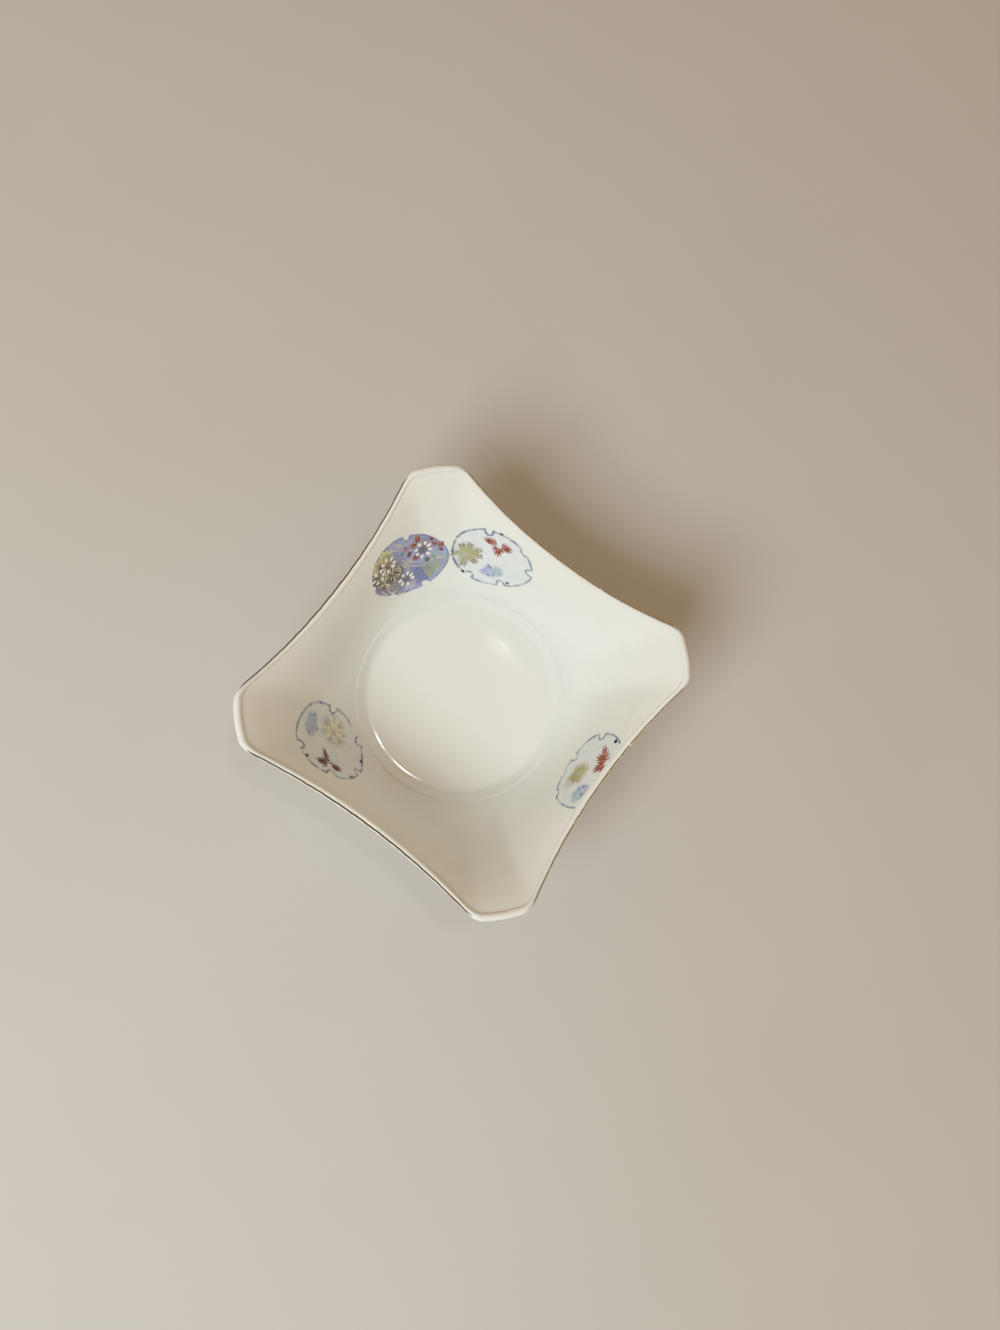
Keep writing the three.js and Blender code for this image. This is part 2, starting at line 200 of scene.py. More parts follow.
class Spot:
    """The middle of a roundel on the inside of the wall, with the plane that touches the wall there."""

    def __init__(self, angle, drop):
        self.angle = angle
        self.z = lip_base(angle) - drop
        self.origin = wall_point(angle, self.z)
        self.right, self.up, self.off = wall_axes(angle, self.z)
        self.lean = -(self.off.x * math.cos(angle) + self.off.y * math.sin(angle))
        self.above = (lip_base(angle) - ROUNDEL_MARGIN - self.z) / self.up.z / MM
        self.below = (self.z - ROUNDEL_MARGIN - SHOULDER_Z) / self.up.z / MM

    def beyond(self, start, drop):
        """How far a point lies outside the inner face of the wall."""
        p = start + self.off * drop
        return math.hypot(p.x, p.y) - inner_radius(math.atan2(p.y, p.x), p.z)

    def on_wall(self, x, y):
        """Drops a place of the plane onto the wall. Gives the point and the direction off the wall."""
        start = self.origin + self.right * (x * MM) + self.up * (y * MM)
        last, gap = 0.0, self.beyond(start, 0.0)
        drop = gap * self.lean
        for _ in range(LANDING_STEPS):
            left = self.beyond(start, drop)
            if abs(left) < LANDED or left == gap:
                break
            last, gap, drop = drop, left, drop - left * (drop - last) / (left - gap)
        point = start + self.off * drop
        return point, wall_axes(math.atan2(point.y, point.x), point.z)[2]

    def across(self, path, t):
        """A point of a path on the wall, the direction across the path there, and the direction off the wall."""
        ahead = path(min(t + 0.02, 1)) - path(max(t - 0.02, 0))
        here = path(t)
        point, off = self.on_wall(here.x, min(here.y, self.above))
        aside = self.right * -ahead.y + self.up * ahead.x
        return point, (aside - off * aside.dot(off)).normalized(), off


# Tools for making pieces

SMOOTH_BELOW = math.radians(50)


def finish_piece(name, bm, materials, replaced=()):
    """Turns a bmesh into a named piece that rides on the bowl."""
    mesh = bpy.data.meshes.new(name)
    for edge in bm.edges:
        edge.smooth = edge.calc_face_angle(0.0) < SMOOTH_BELOW
    for face in bm.faces:
        face.smooth = True
    bm.to_mesh(mesh)
    bm.free()
    piece = bpy.data.objects.new(name, mesh)
    scene.collection.objects.link(piece)
    for mat in materials:
        mesh.materials.append(mat)
    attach(piece, "root")
    if replaced:
        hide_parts(*replaced)
    return piece


def spun(section, columns, closed=False):
    """Turns a section of (radius, height) points round the axis: a quarter of it, then three copies of that."""
    bm = bmesh.new()
    verts = [bm.verts.new((r, 0, z)) for r, z in section]
    edges = [bm.edges.new(pair) for pair in zip(verts, verts[1:])]
    if closed:
        edges.append(bm.edges.new((verts[-1], verts[0])))
    round_axis = {"cent": (0, 0, 0), "axis": (0, 0, 1)}
    bmesh.ops.spin(bm, geom=verts + edges, angle=QUARTER, steps=columns // 4, **round_axis)
    quarter = bm.verts[:] + bm.edges[:] + bm.faces[:]
    bmesh.ops.spin(bm, geom=quarter, angle=3 * QUARTER, steps=3, use_duplicate=True, **round_axis)
    bmesh.ops.remove_doubles(bm, verts=bm.verts, dist=1e-7)
    bmesh.ops.recalc_face_normals(bm, faces=bm.faces)
    return bm


def steps(count, make):
    return [make(i / count) for i in range(count + 1)]


# Colours

def srgb(red, green, blue):
    """A colour written as 0 to 255 on screen, as the shader's linear values."""
    def linear(value):
        c = value / 255
        return c / 12.92 if c <= 0.04045 else ((c + 0.055) / 1.055) ** 2.4
    return (linear(red), linear(green), linear(blue), 1.0)


GLAZE_WHITE = srgb(234, 236, 231)
GLAZE_THICK = srgb(214, 222, 219)
SPECK_BROWN = srgb(150, 140, 124)
BISCUIT = srgb(222, 214, 199)
BISCUIT_DARK = srgb(198, 186, 166)
TOAST = srgb(196, 168, 132)
COBALT_LINE = srgb(98, 118, 142)
COBALT_DROP = srgb(16, 26, 48)
SNOW_WASH = srgb(220, 227, 231)
COBALT_HALO = srgb(196, 206, 218)
PLUM_VIOLET = srgb(158, 168, 206)
PLUM_TEAL = srgb(150, 180, 196)
PLUM_VEIN = srgb(96, 110, 152)
COBALT_PALE = srgb(178, 194, 226)
COBALT_LIGHT = srgb(172, 178, 212)
COBALT_GROUND = srgb(146, 154, 198)
COBALT_DEEP = srgb(104, 112, 168)
TEAL_GREY = srgb(158, 174, 184)
RIM_GOLD = srgb(178, 160, 120)
# painted dark reflection: the gold line on the west and south sides
RIM_GOLD_PAINTED_REFLECTION = srgb(112, 94, 62)
PINE_GOLD = srgb(242, 234, 196)
PINE_OLIVE = srgb(188, 188, 132)
REED_GREEN = srgb(176, 190, 172)
GOLD_SHADE = srgb(136, 126, 86)
OLIVE_HAZE = srgb(152, 156, 116)
MAUVE_HAZE = srgb(168, 162, 168)
# painted shade: darkens the gaps between the south pine's strokes
BROWN_PAINTED_SHADE = srgb(104, 98, 80)
# painted highlight: the south pine's gold drawn near-white, as if catching strong light
PINE_HIGHLIGHT = srgb(252, 250, 236)
PINE_HIGHLIGHT_THIN = srgb(226, 220, 190)
CREAM = srgb(240, 232, 204)
IRON_RED = srgb(128, 40, 38)
IRON_THIN = srgb(172, 82, 66)
IRON_WASH = srgb(222, 168, 138)
# painted shade: a darker iron red for the south ring's red pine, on the shaded wall
IRON_RED_PAINTED_SHADE = srgb(96, 44, 40)
IRON_THIN_PAINTED_SHADE = srgb(138, 84, 74)
IRON_ROSE = srgb(194, 122, 100)
ORANGE_RED = srgb(182, 98, 50)
ORANGE_DARK = srgb(118, 56, 26)
LEAF_MAROON = srgb(104, 44, 48)
LEAF_ROSE = srgb(196, 142, 152)
PETAL_WHITE = srgb(250, 247, 240)
PETAL_THIN = srgb(228, 226, 220)
LEAF_GREEN = srgb(60, 132, 104)
LEAF_THIN = srgb(128, 172, 150)
UMBER = srgb(70, 60, 46)
UMBER_THIN = srgb(114, 102, 84)


# Tools for making materials

def put(tree, value, socket):
    """Links a node's socket to another, or sets the other to a plain value."""
    if isinstance(value, bpy.types.NodeSocket):
        tree.links.new(value, socket)
    else:
        socket.default_value = value


def add(tree, kind, *places, settings=None, **values):
    """Adds a node. Values go to its sockets by place or by name, where an underscore stands for a space."""
    node = tree.nodes.new(kind)
    for key, value in (settings or {}).items():
        setattr(node, key, value)
    for place, value in enumerate(places):
        put(tree, value, node.inputs[place])
    for key, value in values.items():
        put(tree, value, node.inputs[key.replace("_", " ")])
    return node


def maths(tree, operation, a, b=0.0):
    return add(tree, "ShaderNodeMath", a, b, settings={"operation": operation}).outputs[0]


def times(tree, a, b):
    return maths(tree, "MULTIPLY", a, b)


def ramp(tree, value, low, high, to_low=0.0, to_high=1.0):
    """Goes smoothly from one value to another while the given one goes from low to high."""
    limits = {"From_Min": low, "From_Max": high, "To_Min": to_low, "To_Max": to_high}
    node = add(tree, "ShaderNodeMapRange", settings={"interpolation_type": "SMOOTHSTEP"}, Value=value, **limits)
    return node.outputs["Result"]


def blend(tree, factor, a, b):
    """Mixes two colours."""
    node = tree.nodes.new("ShaderNodeMix")
    node.data_type = "RGBA"
    for place, value in ((0, factor), (6, a), (7, b)):
        put(tree, value, node.inputs[place])
    return node.outputs[2]


def cloud(tree, vector, scale, detail=2.0, roughness=0.5, distortion=0.0):
    """A noise field from 0 to 1."""
    values = {"Scale": scale, "Detail": detail, "Roughness": roughness, "Distortion": distortion}
    return add(tree, "ShaderNodeTexNoise", Vector=vector, **values).outputs["Fac"]


def object_place(tree):
    return tree.nodes.new("ShaderNodeTexCoord").outputs["Object"]


def attribute(tree, name, output="Fac"):
    return add(tree, "ShaderNodeAttribute", settings={"attribute_name": name}).outputs[output]


def dot(tree, place, at, radius, softness=0.3):
    """A round mask at a place on a roundel."""
    settings = {"operation": "DISTANCE"}
    gap = add(tree, "ShaderNodeVectorMath", place, (*at, 0.0), settings=settings).outputs["Value"]
    return ramp(tree, gap, radius - softness, radius + softness, 1.0, 0.0)


def group(name, inputs, outputs):
    """An empty shader node group. Inputs are {name: (kind, default)} and outputs {name: kind}."""
    tree = bpy.data.node_groups.new(name, "ShaderNodeTree")
    for label, (kind, default) in inputs.items():
        socket = tree.interface.new_socket(label, in_out="INPUT", socket_type=f"NodeSocket{kind}")
        if default is not None:
            socket.default_value = default
    for label, kind in outputs.items():
        tree.interface.new_socket(label, in_out="OUTPUT", socket_type=f"NodeSocket{kind}")
    given = tree.nodes.new("NodeGroupInput").outputs
    return tree, given, tree.nodes.new("NodeGroupOutput").inputs


def use_group(tree, which, **values):
    return add(tree, "ShaderNodeGroup", settings={"node_tree": which}, **values).outputs


def material(name, **constants):
    """A material with one Principled shader. Constants are set on the shader's own sockets."""
    mat = bpy.data.materials.new(name)
    mat.use_nodes = True
    shader = mat.node_tree.nodes["Principled BSDF"].inputs
    for key, value in constants.items():
        shader[key.replace("_", " ")].default_value = value
    return mat, mat.node_tree, shader


def relief(tree, shader, height, strength, depth):
    bump = add(tree, "ShaderNodeBump", Strength=strength, Distance=depth, Height=height)
    tree.links.new(bump.outputs["Normal"], shader["Normal"])


# Shared effects

def glaze_group():
    """Clear glaze over a painted body: a faint pooling tint, kiln specks and a slightly wavy surface."""
    inputs = {"Vector": ("Vector", None), "Paint": ("Color", GLAZE_WHITE)}
    outputs = {"Color": "Color", "Roughness": "Float", "Height": "Float"}
    tree, given, out = group("porcelain glaze", inputs, outputs)
    place = given["Vector"]
    pooled = ramp(tree, cloud(tree, place, 26.0, 3.0, 0.55), 0.35, 0.75)
    tinted = blend(tree, times(tree, pooled, 0.2), given["Paint"], GLAZE_THICK)
    cells = add(tree, "ShaderNodeTexVoronoi", Vector=place, Scale=210.0)
    near = ramp(tree, cells.outputs["Distance"], 0.03, 0.06, 1.0, 0.0)
    shade = add(tree, "ShaderNodeSeparateColor", Color=cells.outputs["Color"]).outputs[0]
    speck = times(tree, near, maths(tree, "GREATER_THAN", shade, 0.965))
    wave = cloud(tree, place, 46.0, 1.5, 0.45)
    peel = times(tree, cloud(tree, place, 900.0), 0.02)
    put(tree, blend(tree, times(tree, speck, 0.4), tinted, SPECK_BROWN), out["Color"])
    put(tree, ramp(tree, cloud(tree, place, 120.0), 0.3, 0.8, 0.045, 0.07), out["Roughness"])
    put(tree, maths(tree, "ADD", wave, peel), out["Height"])
    return tree


def gold_group():
    """Fired gold that has worn thin: brushed unevenness and rubbed patches."""
    inputs = {"Vector": ("Vector", None), "Gold": ("Color", RIM_GOLD), "Under": ("Color", GLAZE_WHITE),
              "Wear": ("Float", 0.3), "Sheen": ("Float", 0.8)}
    outputs = {"Color": "Color", "Roughness": "Float", "Metallic": "Float", "Height": "Float"}
    tree, given, out = group("worn gold", inputs, outputs)
    place = given["Vector"]
    rubbed = cloud(tree, place, 700.0, 4.0, 0.65)
    limit = maths(tree, "SUBTRACT", 0.78, times(tree, given["Wear"], 0.4))
    bare = ramp(tree, maths(tree, "SUBTRACT", rubbed, limit), 0.0, 0.06)
    shade = ramp(tree, cloud(tree, place, 300.0, 3.0), 0.3, 0.7)
    darker = blend(tree, times(tree, shade, 0.45), given["Gold"], GOLD_SHADE)
    put(tree, blend(tree, bare, darker, given["Under"]), out["Color"])
    put(tree, ramp(tree, rubbed, 0.3, 0.8, 0.24, 0.5), out["Roughness"])
    put(tree, ramp(tree, bare, 0.0, 1.0, given["Sheen"], 0.0), out["Metallic"])
    put(tree, cloud(tree, place, 1500.0, 3.0), out["Height"])
    return tree


def wash_group():
    """Cobalt laid on with a loaded brush: a broad unevenness and a fine grain, both from 0 to 1."""
    inputs = {"Vector": ("Vector", None), "Scale": ("Float", 1.0)}
    tree, given, out = group("cobalt wash", inputs, {"Cloud": "Float", "Grain": "Float"})
    broad = times(tree, given["Scale"], 0.32)
    fine = times(tree, given["Scale"], 2.4)
    put(tree, ramp(tree, cloud(tree, given["Vector"], broad, 3.0, 0.55, 0.6), 0.32, 0.68), out["Cloud"])
    put(tree, cloud(tree, given["Vector"], fine, 4.0, 0.65), out["Grain"])
    return tree


def snow_group():
    """The pale wash that fills a snow ring."""
    tree, given, out = group("snow wash", {"Vector": ("Vector", None)}, {"Color": "Color"})
    wash = use_group(tree, WASH, Vector=given["Vector"], Scale=1.0)
    strength = ramp(tree, wash["Cloud"], 0.0, 1.0, 0.45, 0.95)
    put(tree, blend(tree, strength, GLAZE_WHITE, SNOW_WASH), out["Color"])
    return tree


GLAZE = glaze_group()
GOLD = gold_group()
WASH = wash_group()
SNOW = snow_group()
LINE_INSET = 0.5  # from a roundel's edge to the middle of its brush line, in millimetres


def glazed(tree, shader, paint):
    """Puts the glaze over a painted colour and feeds the shader."""
    glaze = use_group(tree, GLAZE, Vector=object_place(tree), Paint=paint)
    put(tree, glaze["Color"], shader["Base Color"])
    put(tree, glaze["Roughness"], shader["Roughness"])
    relief(tree, shader, glaze["Height"], 0.25, 0.0004)


def brush_line(tree, wash, thin, thick):
    """How far from a roundel's brush line a place is, and how strongly the line is drawn there."""
    wander = times(tree, maths(tree, "SUBTRACT", wash["Grain"], 0.5), 0.4)
    shore = maths(tree, "ADD", attribute(tree, "shore"), wander)
    off_line = maths(tree, "ABSOLUTE", maths(tree, "SUBTRACT", shore, LINE_INSET))
    half = ramp(tree, wash["Cloud"], 0.0, 1.0, thin, thick)
    drawn = ramp(tree, maths(tree, "SUBTRACT", off_line, half), -0.16, 0.2, 1.0, 0.0)
    return shore, off_line, times(tree, drawn, ramp(tree, wash["Cloud"], 0.0, 1.0, 0.5, 0.95))


# Materials

def porcelain_material():
    """White porcelain under clear glaze that pools, faintly blue, in the well's edge and round the foot."""
    mat, tree, shader = material("porcelain", IOR=1.52)
    paint = blend(tree, times(tree, attribute(tree, "pool"), 0.3), GLAZE_WHITE, GLAZE_THICK)
    glazed(tree, shader, paint)
    return mat


def foot_material():
    """Glazed sides and a bare biscuit resting edge, with a thin toasted line between the two."""
    mat, tree, shader = material("foot porcelain", IOR=1.52)
    place = object_place(tree)
    height = add(tree, "ShaderNodeSeparateXYZ", place).outputs["Z"]
    uneven = times(tree, maths(tree, "SUBTRACT", cloud(tree, place, 160.0, 3.0), 0.5), 0.0014)
    level = maths(tree, "ADD", height, uneven)
    covered = ramp(tree, level, 0.0010, 0.0013)
    toasted = times(tree, covered, ramp(tree, level, 0.0013, 0.0021, 1.0, 0.0))
    grit = cloud(tree, place, 2600.0, 3.0, 0.7)
    bare = blend(tree, times(tree, grit, 0.5), BISCUIT, BISCUIT_DARK)
    glaze = use_group(tree, GLAZE, Vector=place, Paint=GLAZE_WHITE)
    warm = blend(tree, times(tree, toasted, 0.45), glaze["Color"], TOAST)
    put(tree, blend(tree, covered, bare, warm), shader["Base Color"])
    put(tree, ramp(tree, covered, 0.0, 1.0, 0.75, 0.09), shader["Roughness"])
    relief(tree, shader, times(tree, grit, maths(tree, "SUBTRACT", 1.0, covered)), 0.4, 0.00015)
    return mat


def hazed(tree, wash, place, paint, hazes):
    """Lays soft broken tints on a painted ground, each given as (middle, radius, strength, colour)."""
    broken = ramp(tree, wash["Grain"], 0.3, 0.6, 0.6, 1.0)
    for at, radius, strength, colour in hazes:
        haze = times(tree, times(tree, dot(tree, place, at, radius, radius * 0.4), strength), broken)
        paint = blend(tree, haze, paint, colour)
    return paint


def snow_material(name, hazes, drops):
    """A pale wash inside a notched brush line, tinted under the pine, with drops where the brush rested. The south
    pine's brown tint is painted shade.
    """
    mat, tree, shader = material(name, IOR=1.52)
    place = attribute(tree, "painting", "Vector")
    wash = use_group(tree, WASH, Vector=place, Scale=1.0)
    shore, off_line, line = brush_line(tree, wash, 0.14, 0.32)
    inside = ramp(tree, shore, LINE_INSET - 0.15, LINE_INSET + 0.4)
    ground = blend(tree, inside, GLAZE_WHITE, use_group(tree, SNOW, Vector=place)["Color"])
    ground = blend(tree, ramp(tree, off_line, 0.1, 1.0, 0.35, 0.0), ground, COBALT_HALO)
    ground = hazed(tree, wash, place, ground, hazes)
    paint = blend(tree, line, ground, COBALT_LINE)
    for at in drops:
        paint = blend(tree, dot(tree, place, at, 0.6, 0.15), paint, COBALT_DROP)
    glazed(tree, shader, paint)
    return mat


def plum_material(name, middle, teal_side, dots):
    """A soft cobalt flower, violet on one side and teal on the other, with pale stamens and a few dark dots."""
    mat, tree, shader = material(name, IOR=1.52)
    place = attribute(tree, "painting", "Vector")
    wash = use_group(tree, WASH, Vector=place, Scale=1.6)
    body = ramp(tree, attribute(tree, "shore"), 0.0, 1.3)
    body = times(tree, body, ramp(tree, wash["Cloud"], 0.0, 1.0, 0.65, 1.0))
    tint = blend(tree, dot(tree, place, teal_side, 2.4, 1.4), PLUM_VIOLET, PLUM_TEAL)
    cells = add(tree, "ShaderNodeTexVoronoi", Vector=place, Scale=1.35)
    beads = ramp(tree, cells.outputs["Distance"], 0.14, 0.3, 1.0, 0.0)
    near = times(tree, beads, dot(tree, place, middle, 1.7, 0.6))
    paint = blend(tree, body, use_group(tree, SNOW, Vector=place)["Color"], tint)
    paint = blend(tree, times(tree, near, 0.7), paint, SNOW_WASH)
    for at in dots:
        paint = blend(tree, dot(tree, place, at, 0.38, 0.22), paint, PLUM_VEIN)
    glazed(tree, shader, paint)
    return mat


def cobalt_material(hazes):
    """A full cobalt wash, deeper where it pooled along the bottom, with tints round what is enamelled on it."""
    mat, tree, shader = material("cobalt ground", IOR=1.52)
    place = attribute(tree, "painting", "Vector")
    wash = use_group(tree, WASH, Vector=place, Scale=0.8)
    paint = blend(tree, wash["Cloud"], COBALT_LIGHT, COBALT_GROUND)
    paint = hazed(tree, wash, place, paint, hazes)
    shore, off_line, line = brush_line(tree, wash, 0.1, 0.24)
    paint = blend(tree, times(tree, line, 0.7), paint, COBALT_DEEP)
    paint = blend(tree, ramp(tree, shore, 0.05, 0.5), GLAZE_WHITE, paint)
    glazed(tree, shader, paint)
    return mat


def gold_material(name, gold, wear, sheen):
    mat, tree, shader = material(name)
    worn = use_group(tree, GOLD, Vector=object_place(tree), Gold=gold, Wear=wear, Sheen=sheen)
    put(tree, worn["Color"], shader["Base Color"])
    put(tree, worn["Roughness"], shader["Roughness"])
    put(tree, worn["Metallic"], shader["Metallic"])
    relief(tree, shader, worn["Height"], 0.3, 0.00006)
    return mat


def enamel_material(name, thick, thin, roughness=0.22):
    """Raised overglaze enamel: its colour thins out unevenly, and it has a soft gloss."""
    mat, tree, shader = material(name, IOR=1.5)
    place = object_place(tree)
    body = ramp(tree, cloud(tree, place, 900.0, 3.0, 0.6), 0.36, 0.7)
    put(tree, blend(tree, body, thick, thin), shader["Base Color"])
    put(tree, ramp(tree, body, 0.0, 1.0, roughness, roughness + 0.14), shader["Roughness"])
    relief(tree, shader, cloud(tree, place, 2200.0), 0.3, 0.00005)
    return mat


# Bowl

BOWL_COLUMNS = 440
COLUMN_CROWDING = 0.4
LIP_NICK = 0.16 * MM  # how uneven the worn lip is at the corners
LIP_NICK_SCALE = 520
POOL_WIDTH = 2.6 * MM  # how far the glaze has run together along the well's edge
FOOT_POOL_WIDTH = 1.6 * MM
ON_AXIS = 0.01 * MM


def column_angle(turn):
    """Crowds the columns towards the corners, where the outline turns sharply."""
    quarter, part = divmod(turn * 4, 1)
    t = 2 * part - 1
    return (quarter + 0.5 + 0.5 * t * (1 - COLUMN_CROWDING + COLUMN_CROWDING * t * t)) * QUARTER


def bezier(start, turn, end, t):
    return (1 - t) ** 2 * start + 2 * t * (1 - t) * turn + t * t * end


def bowl_section():
    """The bowl before it is pressed square: from the floor's middle over the lip to the underside's middle."""
    round_base = SIDE_HEIGHT - LIP_RADIUS
    run = MEAN_REACH - LIP_THICKNESS - WELL_RADIUS
    shares = steps(56, lambda t: smoothstep(t, 0, 1))
    inside = [(WELL_RADIUS + run * spread(h), lerp(SHOULDER_Z, round_base, h)) for h in shares]
    outside = [(r + LIP_THICKNESS + WALL_SWELL * (1 - h) ** 2, z) for (r, z), h in zip(inside, shares)][::-1]
    (toe_r, toe_z), (above_r, above_z) = outside[-1], outside[-5]
    turn_r = toe_r - (above_r - toe_r) / (above_z - toe_z) * (toe_z - FOOT_HEIGHT)

    def lip(t):
        around = math.pi * t
        return MEAN_REACH - LIP_RADIUS * (1 + math.cos(around)), round_base + LIP_RADIUS * math.sin(around)

    def belly(t):
        return bezier(toe_r, turn_r, SEAT_RADIUS, t), bezier(toe_z, FOOT_HEIGHT, FOOT_HEIGHT, t)

    section = [(r, floor_height(r)) for r in steps(26, lambda t: WELL_RADIUS * math.sin(t * QUARTER))]
    section += inside[1:] + steps(12, lip)[1:] + outside[1:] + steps(12, belly)[1:]
    return section + [(SEAT_RADIUS * t, FOOT_HEIGHT) for t in (0.9, 0.75, 0.5, 0.25, 0.0)]


def pooling(radius, z):
    """How thickly the glaze has run together, from 0 to 1: along the well's edge and where the foot is luted on."""
    if z > FOOT_HEIGHT + FLOOR_THICKNESS / 2:
        return math.exp(-((radius - WELL_RADIUS) / POOL_WIDTH) ** 2)
    return math.exp(-((z - FOOT_HEIGHT) / FOOT_POOL_WIDTH) ** 2)


def make_bowl():
    bm = spun(bowl_section(), BOWL_COLUMNS)
    pool = bm.verts.layers.float.new("pool")
    round_base = SIDE_HEIGHT - LIP_RADIUS
    for vert in bm.verts:
        radius, z = math.hypot(vert.co.x, vert.co.y), vert.co.z
        vert[pool] = pooling(radius, z)
        if radius < ON_AXIS:
            continue
        angle = column_angle((math.atan2(vert.co.y, vert.co.x) / (2 * math.pi)) % 1.0)
        share = (z - SHOULDER_Z) / (round_base - SHOULDER_Z)
        worn = LIP_NICK * smoothstep(share, 0.94, 1.02) * smoothstep(towards_tip(angle), 0.5, 0.75)
        nick = worn * (0.5 + 0.5 * noise.noise(vert.co * LIP_NICK_SCALE))
        pressed = radius + (reach(angle) - MEAN_REACH) * spread(share) - nick
        raised = z + clamp(share) * (lip_base(angle) - round_base) - nick
        vert.co = (pressed * math.cos(angle), pressed * math.sin(angle), raised)
    return finish_piece("pressed_bowl", bm, [porcelain_material()], ["bowl_body"])


# Foot ring

def make_foot():
    inner_top = FOOT_TOP_RADIUS - FOOT_THICKNESS
    inner_rest = FOOT_REST_RADIUS - FOOT_THICKNESS + 2 * FOOT_BEVEL
    outer_rest = FOOT_REST_RADIUS + FOOT_BEVEL / 2
    middle = (FOOT_HEIGHT + FOOT_WAIST_HEIGHT) / 2

    def flare(t):
        radius = bezier(FOOT_TOP_RADIUS, FOOT_WAIST_RADIUS, FOOT_WAIST_RADIUS, t)
        return radius, bezier(FOOT_HEIGHT, middle, FOOT_WAIST_HEIGHT, t)

    def outer_turn(t):
        radius = outer_rest - FOOT_BEVEL / 2 * (1 - math.cos(t * QUARTER))
        return radius, FOOT_BEVEL * (1 - math.sin(t * QUARTER))

    def inner_turn(t):
        return inner_rest - FOOT_BEVEL * math.sin(t * QUARTER), FOOT_BEVEL * (1 - math.cos(t * QUARTER))

    def straight(start, end):
        return lambda t: (lerp(start[0], end[0], t), lerp(start[1], end[1], t))

    section = [(inner_top, FOOT_HEIGHT)] + steps(12, flare)
    section += steps(8, straight((FOOT_WAIST_RADIUS, FOOT_WAIST_HEIGHT), (outer_rest, FOOT_BEVEL)))[1:]
    section += steps(6, outer_turn)[1:] + steps(6, inner_turn)
    section += steps(8, straight((inner_rest - FOOT_BEVEL, FOOT_BEVEL), (inner_top, FOOT_HEIGHT)))[1:-1]
    return finish_piece("turned_foot", spun(section, 160, True), [foot_material()], ["foot_ring"])


# Gold line on the lip of each side

GOLD_FROM = math.radians(12)  # from the lip's crest towards the outside
GOLD_TO = math.radians(42)
GOLD_LIFT = 0.03 * MM
GOLD_THICKNESS = 0.05 * MM
GOLD_END_GAP = math.radians(0.3)
GOLD_TAPER_FROM = 0.95  # share of the half length at which a line starts to thin out


def make_gold_line(side, side_angle, mat):
    bm = bmesh.new()
    bmesh.ops.create_grid(bm, x_segments=180, y_segments=6, size=1.0)
    half_span = QUARTER / 2 - CUT_ANGLE - GOLD_END_GAP
    shake = random.uniform(0, 6)
    lift = LIP_RADIUS + GOLD_LIFT
    for vert in bm.verts:
        u, v = vert.co.x, vert.co.y
        angle = side_angle + u * half_span
        brush = 0.05 * math.sin(31 * u + shake) + 0.04 * math.sin(73 * u + 2 * shake)
        taper = 1 - smoothstep(abs(u), GOLD_TAPER_FROM, 1.0) * 0.92
        tilt = (GOLD_FROM + GOLD_TO) / 2 + brush * 0.8 - v / 2 * (GOLD_TO - GOLD_FROM) * taper * (1 + brush)
        radius = reach(angle) - LIP_RADIUS + lift * math.sin(tilt)
        vert.co = (radius * math.cos(angle), radius * math.sin(angle), lip_base(angle) + lift * math.cos(tilt))
    bmesh.ops.solidify(bm, geom=bm.faces[:], thickness=GOLD_THICKNESS)
    bmesh.ops.recalc_face_normals(bm, faces=bm.faces)
    return finish_piece(f"gold_line_{side}", bm, [mat], [f"rim_gold_line_{side}"])


# Painted roundels. The sizes from here on are in millimetres.

ROUNDEL_RADIUS = 12.3
ROUNDEL_GAP = 0.25
LAYER_BOTTOM = 0.015  # a painted layer's underside and top, off the wall
LAYER_TOP = 0.05
BAND = 2.1  # strip along a roundel's edge whose rings follow the edge
BAND_RINGS = 14
INNER_RINGS = 10
NOTCH_HALF = 0.95
SHORE_SPACING = 0.08


def ring_outline(notches, shake, oval, long_way, size=1.0):
    """A painted ring: a wobbly oval with round bites, given as {direction in degrees: depth}."""
    def radius(angle):
        edge = ROUNDEL_RADIUS + 0.2 * math.sin(3 * angle + shake) + 0.1 * math.sin(7 * angle + 2 * shake)
        edge *= size * (1 + oval * math.cos(2 * (angle - math.radians(long_way))))
        for direction, depth in notches.items():
            aside = abs(math.remainder(angle - math.radians(direction), 2 * math.pi)) * ROUNDEL_RADIUS
            edge -= depth * math.sqrt(1 - min(aside / NOTCH_HALF, 1) ** 3)
        return edge
    return radius


def oval_outline(long, short, degrees):
    """A soft five-lobed flower, drawn out to an oval."""
    def radius(angle):
        turned = angle - math.radians(degrees)
        oval = long * short / math.hypot(short * math.cos(turned), long * math.sin(turned))
        return oval * (0.88 + 0.12 * abs(math.cos(2.5 * angle)))
    return radius


def shoreline(outline):
    """Close points along an outline, to measure distances from."""
    def corner(turn):
        angle = turn * math.tau
        return Vector((outline(angle) * math.cos(angle), outline(angle) * math.sin(angle), 0))

    corners = steps(720, corner)
    points = []
    for start, end in zip(corners, corners[1:]):
        count = max(1, math.ceil((end - start).length / SHORE_SPACING))
        points += [start.lerp(end, i / count) for i in range(count)]
    tree = KDTree(len(points))
    for i, point in enumerate(points):
        tree.insert(point, i)
    tree.balance()
    return tree


def lay_on_wall(spot, verts, painting, height):
    """Puts points on the wall at their places on the roundel, a height in millimetres off it."""
    for vert in verts:
        point, off = spot.on_wall(vert[painting].x, vert[painting].y)
        vert.co = point + off * (height * MM)


